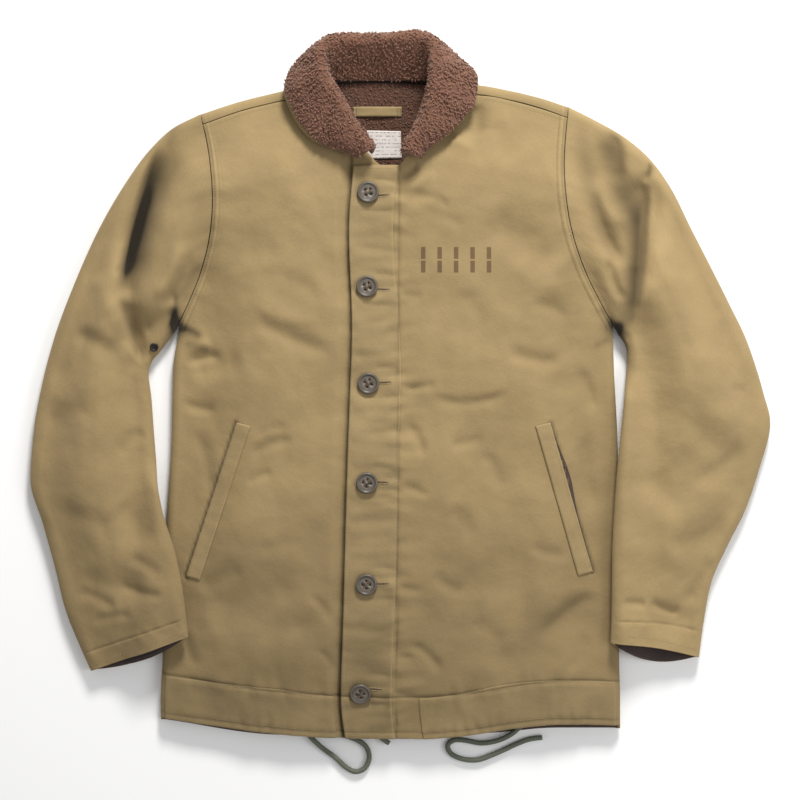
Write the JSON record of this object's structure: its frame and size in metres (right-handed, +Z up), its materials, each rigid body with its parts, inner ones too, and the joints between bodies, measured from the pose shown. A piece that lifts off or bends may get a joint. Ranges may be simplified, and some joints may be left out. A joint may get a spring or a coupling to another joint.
{
  "type": "deck jacket",
  "caption": "Short cloth deck jacket laid flat on its back, with a pile shawl collar, buttoned front, slanted welt pockets and hem drawcords",
  "frame": {"origin": "middle of the jacket's box, on the surface it lies on; the drawcords are left out of the measure", "axes": "+X to the wearer's left, +Y from the hem to the collar, +Z up off the surface, out of the jacket's front"},
  "size_m": [0.8174, 0.8207, 0.0539],
  "materials": {
    "back": "ribbed cotton cloth",
    "front_left": "ribbed cotton cloth",
    "front_right": "ribbed cotton cloth",
    "front_band": "ribbed cotton cloth",
    "hem_band_left": "ribbed cotton cloth",
    "hem_band_right": "ribbed cotton cloth",
    "sleeve_right": "ribbed cotton cloth",
    "sleeve_left": "ribbed cotton cloth",
    "cuff_lining_right": "dark knit",
    "cuff_lining_left": "dark knit",
    "collar": "deep wool pile",
    "under_collar": "ribbed cotton cloth",
    "neck_lining": "deep wool pile",
    "locker_loop": "woven tape",
    "neck_label": "plain woven tape",
    "pocket_welt_right": "ribbed cotton cloth",
    "pocket_welt_left": "ribbed cotton cloth",
    "button_1": "dark horn grey",
    "button_2": "dark horn grey",
    "button_3": "dark horn grey",
    "button_4": "dark horn grey",
    "button_5": "dark horn grey",
    "button_6": "dark horn grey",
    "underarm_eyelet": "black",
    "drawcord_right": "braided cotton",
    "drawcord_left": "braided cotton"
  },
  "bodies": {
    "root": {"back": "back", "front_left": "front_left", "front_right": "front_right", "front_band": "front_band", "hem_band_left": "hem_band_left", "hem_band_right": "hem_band_right", "sleeve_right": "sleeve_right", "sleeve_left": "sleeve_left", "cuff_lining_right": "cuff_lining_right", "cuff_lining_left": "cuff_lining_left", "collar": "collar", "under_collar": "under_collar", "neck_lining": "neck_lining", "locker_loop": "locker_loop", "neck_label": "neck_label", "pocket_welt_right": "pocket_welt_right", "pocket_welt_left": "pocket_welt_left", "button_1": "button_1", "button_2": "button_2", "button_3": "button_3", "button_4": "button_4", "button_5": "button_5", "button_6": "button_6", "underarm_eyelet": "underarm_eyelet", "drawcord_right": "drawcord_right", "drawcord_left": "drawcord_left"}
  },
  "joints": []
}
